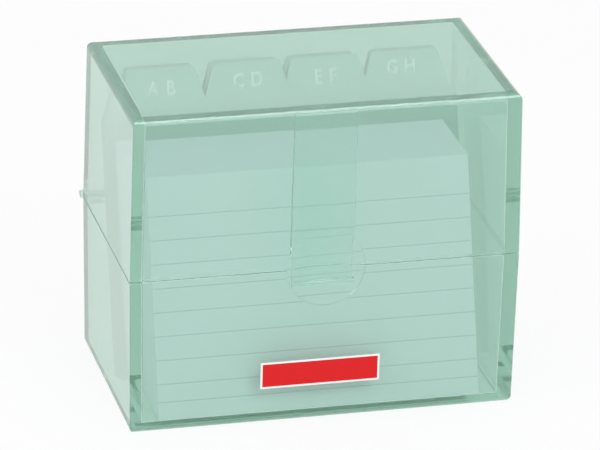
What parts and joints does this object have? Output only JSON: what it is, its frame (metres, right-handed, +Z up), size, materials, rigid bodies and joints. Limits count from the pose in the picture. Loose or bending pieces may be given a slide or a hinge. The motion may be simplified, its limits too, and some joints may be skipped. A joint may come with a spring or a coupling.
{
  "type": "index card box",
  "caption": "Small translucent hinged box for A8 index cards, with a springy inner latch, a finger dish, ruled cards and lettered tab dividers leaning inside.",
  "frame": {"origin": "centre of the box's underside, on the surface it stands on", "axes": "+Z up, +X to the right along the width seen from the front, front with the latch faces -Y, hinge at +Y"},
  "size_m": [0.09, 0.0529, 0.0753],
  "materials": {
    "mint_plastic": "clear mint tinted moulding",
    "pin_plastic": "mint tinted moulding",
    "red_label": "printed plain red sticker with a pale border",
    "white_card": "smooth ruled card",
    "green_divider": "pale green card with lettered tabs"
  },
  "bodies": {
    "base": {"base_shell": "mint_plastic", "front_label": "red_label", "hinge_pin_left": "pin_plastic", "hinge_pin_right": "pin_plastic"},
    "lid": {"lid_shell": "mint_plastic"},
    "latch": {"latch_strip": "mint_plastic"},
    "cards_01": {"card_packet_01": "white_card"},
    "cards_02": {"card_packet_02": "white_card"},
    "cards_03": {"card_packet_03": "white_card"},
    "cards_04": {"card_packet_04": "white_card"},
    "cards_05": {"card_packet_05": "white_card"},
    "cards_06": {"card_packet_06": "white_card"},
    "cards_07": {"card_packet_07": "white_card"},
    "cards_08": {"card_packet_08": "white_card"},
    "cards_09": {"card_packet_09": "white_card"},
    "cards_10": {"card_packet_10": "white_card"},
    "leaf_a_b": {"divider_a_b": "green_divider"},
    "leaf_c_d": {"divider_c_d": "green_divider"},
    "leaf_e_f": {"divider_e_f": "green_divider"},
    "leaf_g_h": {"divider_g_h": "green_divider"},
    "leaf_i_j": {"divider_i_j": "green_divider"},
    "leaf_k_l": {"divider_k_l": "green_divider"},
    "leaf_m_n": {"divider_m_n": "green_divider"},
    "leaf_o_p": {"divider_o_p": "green_divider"},
    "leaf_q_r": {"divider_q_r": "green_divider"},
    "leaf_s_t": {"divider_s_t": "green_divider"},
    "leaf_u_v": {"divider_u_v": "green_divider"},
    "leaf_w_z": {"divider_w_z": "green_divider"}
  },
  "joints": [
    {"name": "lid_hinge", "type": "hinge", "parent": "base", "child": "lid", "pos_m": [0, 0.02665, 0.037], "axis": [-1, 0, 0], "range_deg": [0, 110]},
    {"name": "latch_flex", "type": "hinge", "parent": "lid", "child": "latch", "pos_m": [0, -0.02144, 0.07258], "axis": [1, 0, 0], "range_deg": [0, 2], "stiffness_Nm_per_rad": 0.4},
    {"name": "cards_01_tip", "type": "hinge", "parent": "base", "child": "cards_01", "pos_m": [0, -0.02224, 0.00205], "axis": [1, 0, 0], "range_deg": [0, 9]},
    {"name": "cards_02_tip", "type": "hinge", "parent": "base", "child": "cards_02", "pos_m": [0, -0.02009, 0.00205], "axis": [1, 0, 0], "range_deg": [0, 9]},
    {"name": "cards_03_tip", "type": "hinge", "parent": "base", "child": "cards_03", "pos_m": [0, -0.01793, 0.00205], "axis": [1, 0, 0], "range_deg": [0, 9]},
    {"name": "cards_04_tip", "type": "hinge", "parent": "base", "child": "cards_04", "pos_m": [0, -0.01578, 0.00205], "axis": [1, 0, 0], "range_deg": [0, 9]},
    {"name": "cards_05_tip", "type": "hinge", "parent": "base", "child": "cards_05", "pos_m": [0, -0.01363, 0.00205], "axis": [1, 0, 0], "range_deg": [0, 9]},
    {"name": "cards_06_tip", "type": "hinge", "parent": "base", "child": "cards_06", "pos_m": [0, -0.01147, 0.00205], "axis": [1, 0, 0], "range_deg": [0, 9]},
    {"name": "cards_07_tip", "type": "hinge", "parent": "base", "child": "cards_07", "pos_m": [0, -0.00932, 0.00205], "axis": [1, 0, 0], "range_deg": [0, 9]},
    {"name": "cards_08_tip", "type": "hinge", "parent": "base", "child": "cards_08", "pos_m": [0, -0.00717, 0.00205], "axis": [1, 0, 0], "range_deg": [0, 9]},
    {"name": "cards_09_tip", "type": "hinge", "parent": "base", "child": "cards_09", "pos_m": [0, -0.00502, 0.00205], "axis": [1, 0, 0], "range_deg": [0, 9]},
    {"name": "cards_10_tip", "type": "hinge", "parent": "base", "child": "cards_10", "pos_m": [0, -0.00286, 0.00205], "axis": [1, 0, 0], "range_deg": [0, 9]},
    {"name": "leaf_a_b_tip", "type": "hinge", "parent": "base", "child": "leaf_a_b", "pos_m": [0, -0.00071, 0.00205], "axis": [1, 0, 0], "range_deg": [0, 9]},
    {"name": "leaf_c_d_tip", "type": "hinge", "parent": "base", "child": "leaf_c_d", "pos_m": [0, -0.00048, 0.00205], "axis": [1, 0, 0], "range_deg": [0, 9]},
    {"name": "leaf_e_f_tip", "type": "hinge", "parent": "base", "child": "leaf_e_f", "pos_m": [0, -0.00025, 0.00205], "axis": [1, 0, 0], "range_deg": [0, 9]},
    {"name": "leaf_g_h_tip", "type": "hinge", "parent": "base", "child": "leaf_g_h", "pos_m": [0, -0.00002, 0.00205], "axis": [1, 0, 0], "range_deg": [0, 9]},
    {"name": "leaf_i_j_tip", "type": "hinge", "parent": "base", "child": "leaf_i_j", "pos_m": [0, 0.00021, 0.00205], "axis": [1, 0, 0], "range_deg": [0, 9]},
    {"name": "leaf_k_l_tip", "type": "hinge", "parent": "base", "child": "leaf_k_l", "pos_m": [0, 0.00044, 0.00205], "axis": [1, 0, 0], "range_deg": [0, 9]},
    {"name": "leaf_m_n_tip", "type": "hinge", "parent": "base", "child": "leaf_m_n", "pos_m": [0, 0.00067, 0.00205], "axis": [1, 0, 0], "range_deg": [0, 9]},
    {"name": "leaf_o_p_tip", "type": "hinge", "parent": "base", "child": "leaf_o_p", "pos_m": [0, 0.0009, 0.00205], "axis": [1, 0, 0], "range_deg": [0, 9]},
    {"name": "leaf_q_r_tip", "type": "hinge", "parent": "base", "child": "leaf_q_r", "pos_m": [0, 0.00113, 0.00205], "axis": [1, 0, 0], "range_deg": [0, 9]},
    {"name": "leaf_s_t_tip", "type": "hinge", "parent": "base", "child": "leaf_s_t", "pos_m": [0, 0.00136, 0.00205], "axis": [1, 0, 0], "range_deg": [0, 9]},
    {"name": "leaf_u_v_tip", "type": "hinge", "parent": "base", "child": "leaf_u_v", "pos_m": [0, 0.00159, 0.00205], "axis": [1, 0, 0], "range_deg": [0, 9]},
    {"name": "leaf_w_z_tip", "type": "hinge", "parent": "base", "child": "leaf_w_z", "pos_m": [0, 0.00182, 0.00205], "axis": [1, 0, 0], "range_deg": [0, 9]}
  ],
  "couplings": [
    {"joint": "cards_02_tip", "follows": "cards_01_tip", "ratio": 1},
    {"joint": "cards_03_tip", "follows": "cards_01_tip", "ratio": 1},
    {"joint": "cards_04_tip", "follows": "cards_01_tip", "ratio": 1},
    {"joint": "cards_05_tip", "follows": "cards_01_tip", "ratio": 1},
    {"joint": "cards_06_tip", "follows": "cards_01_tip", "ratio": 1},
    {"joint": "cards_07_tip", "follows": "cards_01_tip", "ratio": 1},
    {"joint": "cards_08_tip", "follows": "cards_01_tip", "ratio": 1},
    {"joint": "cards_09_tip", "follows": "cards_01_tip", "ratio": 1},
    {"joint": "cards_10_tip", "follows": "cards_01_tip", "ratio": 1},
    {"joint": "leaf_a_b_tip", "follows": "cards_01_tip", "ratio": 1},
    {"joint": "leaf_c_d_tip", "follows": "cards_01_tip", "ratio": 1},
    {"joint": "leaf_e_f_tip", "follows": "cards_01_tip", "ratio": 1},
    {"joint": "leaf_g_h_tip", "follows": "cards_01_tip", "ratio": 1},
    {"joint": "leaf_i_j_tip", "follows": "cards_01_tip", "ratio": 1},
    {"joint": "leaf_k_l_tip", "follows": "cards_01_tip", "ratio": 1},
    {"joint": "leaf_m_n_tip", "follows": "cards_01_tip", "ratio": 1},
    {"joint": "leaf_o_p_tip", "follows": "cards_01_tip", "ratio": 1},
    {"joint": "leaf_q_r_tip", "follows": "cards_01_tip", "ratio": 1},
    {"joint": "leaf_s_t_tip", "follows": "cards_01_tip", "ratio": 1},
    {"joint": "leaf_u_v_tip", "follows": "cards_01_tip", "ratio": 1},
    {"joint": "leaf_w_z_tip", "follows": "cards_01_tip", "ratio": 1}
  ]
}
